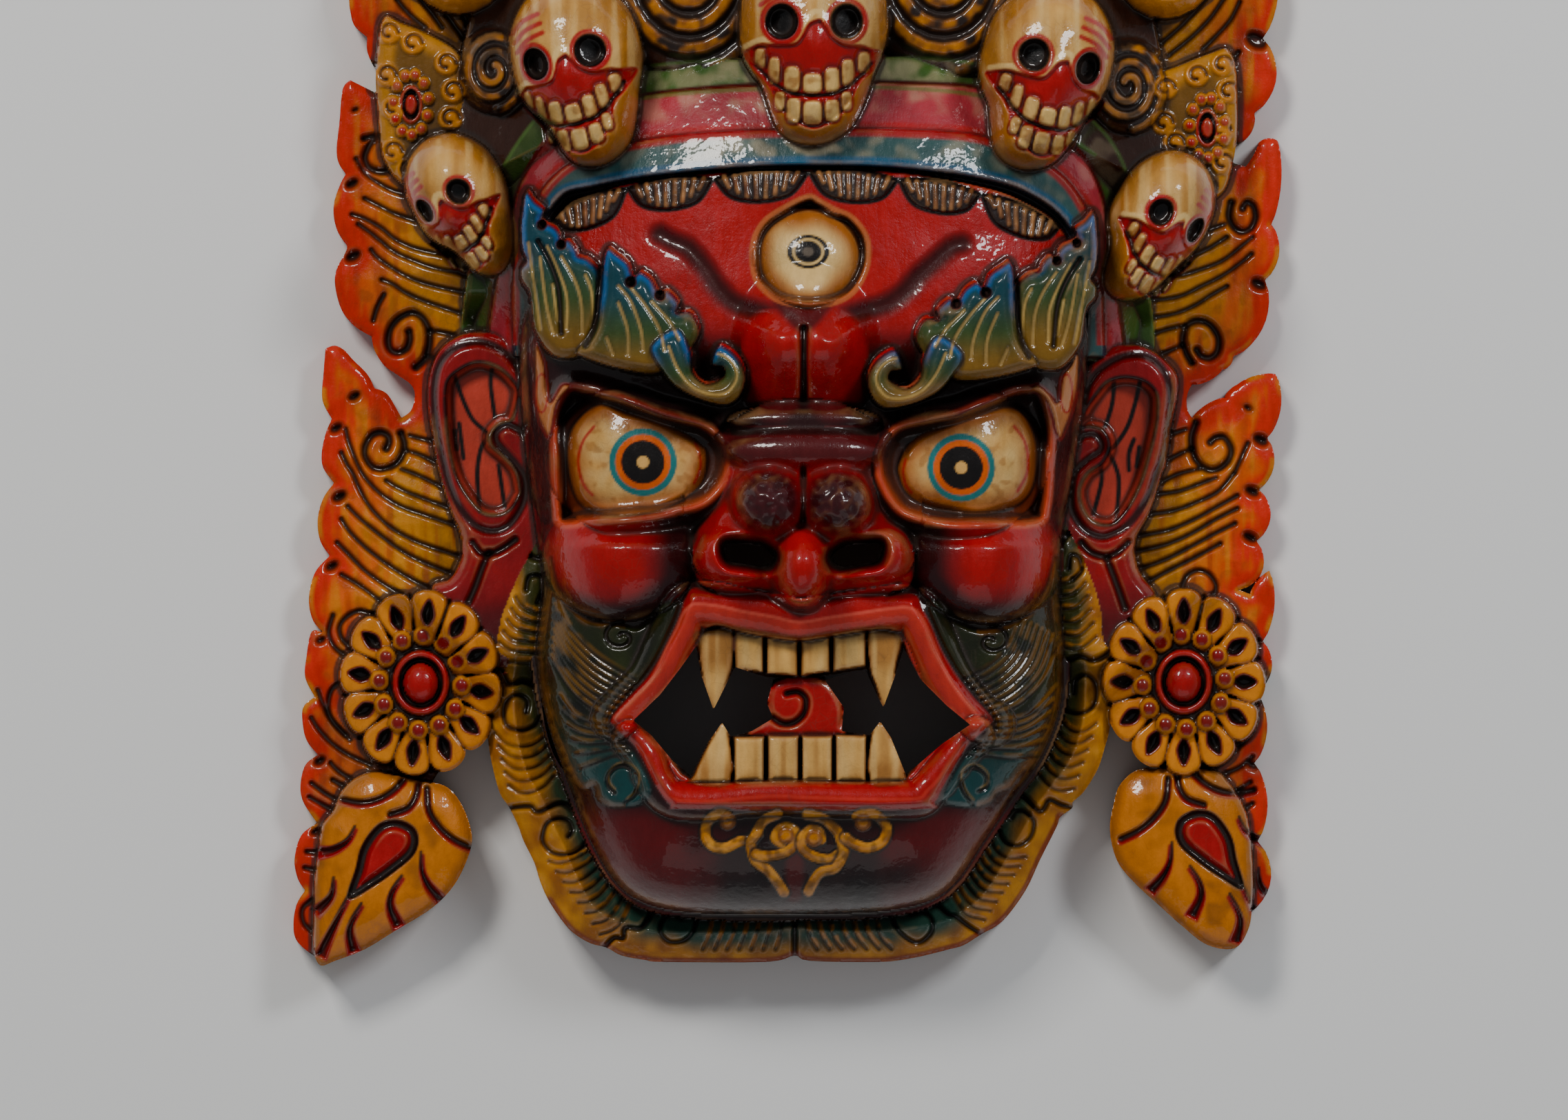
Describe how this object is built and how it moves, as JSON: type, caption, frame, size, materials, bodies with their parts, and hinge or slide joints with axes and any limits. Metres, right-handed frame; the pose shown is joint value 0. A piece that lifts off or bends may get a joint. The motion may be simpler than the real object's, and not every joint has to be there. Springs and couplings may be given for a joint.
{
  "type": "carved wooden guardian deity wall mask",
  "caption": "A carved and painted wooden mask of a wrathful guardian, with a skull crown, bulging eyes, open fanged mouth and side flame boards, lying on its back.",
  "frame": {"origin": "centre of the bounding box in plan, at the level of the flat back", "axes": "+Z out of the face, +Y towards the crown, +X to the right of someone looking at the face"},
  "size_m": [0.4627, 0.6615, 0.1465],
  "materials": {
    "painted_wood": "painted in red, blue, green, ochre and cream, then varnished; glossy on the high spots, dark in the cuts"
  },
  "bodies": {
    "root": {"mahakala_mask": "painted_wood"}
  },
  "joints": []
}
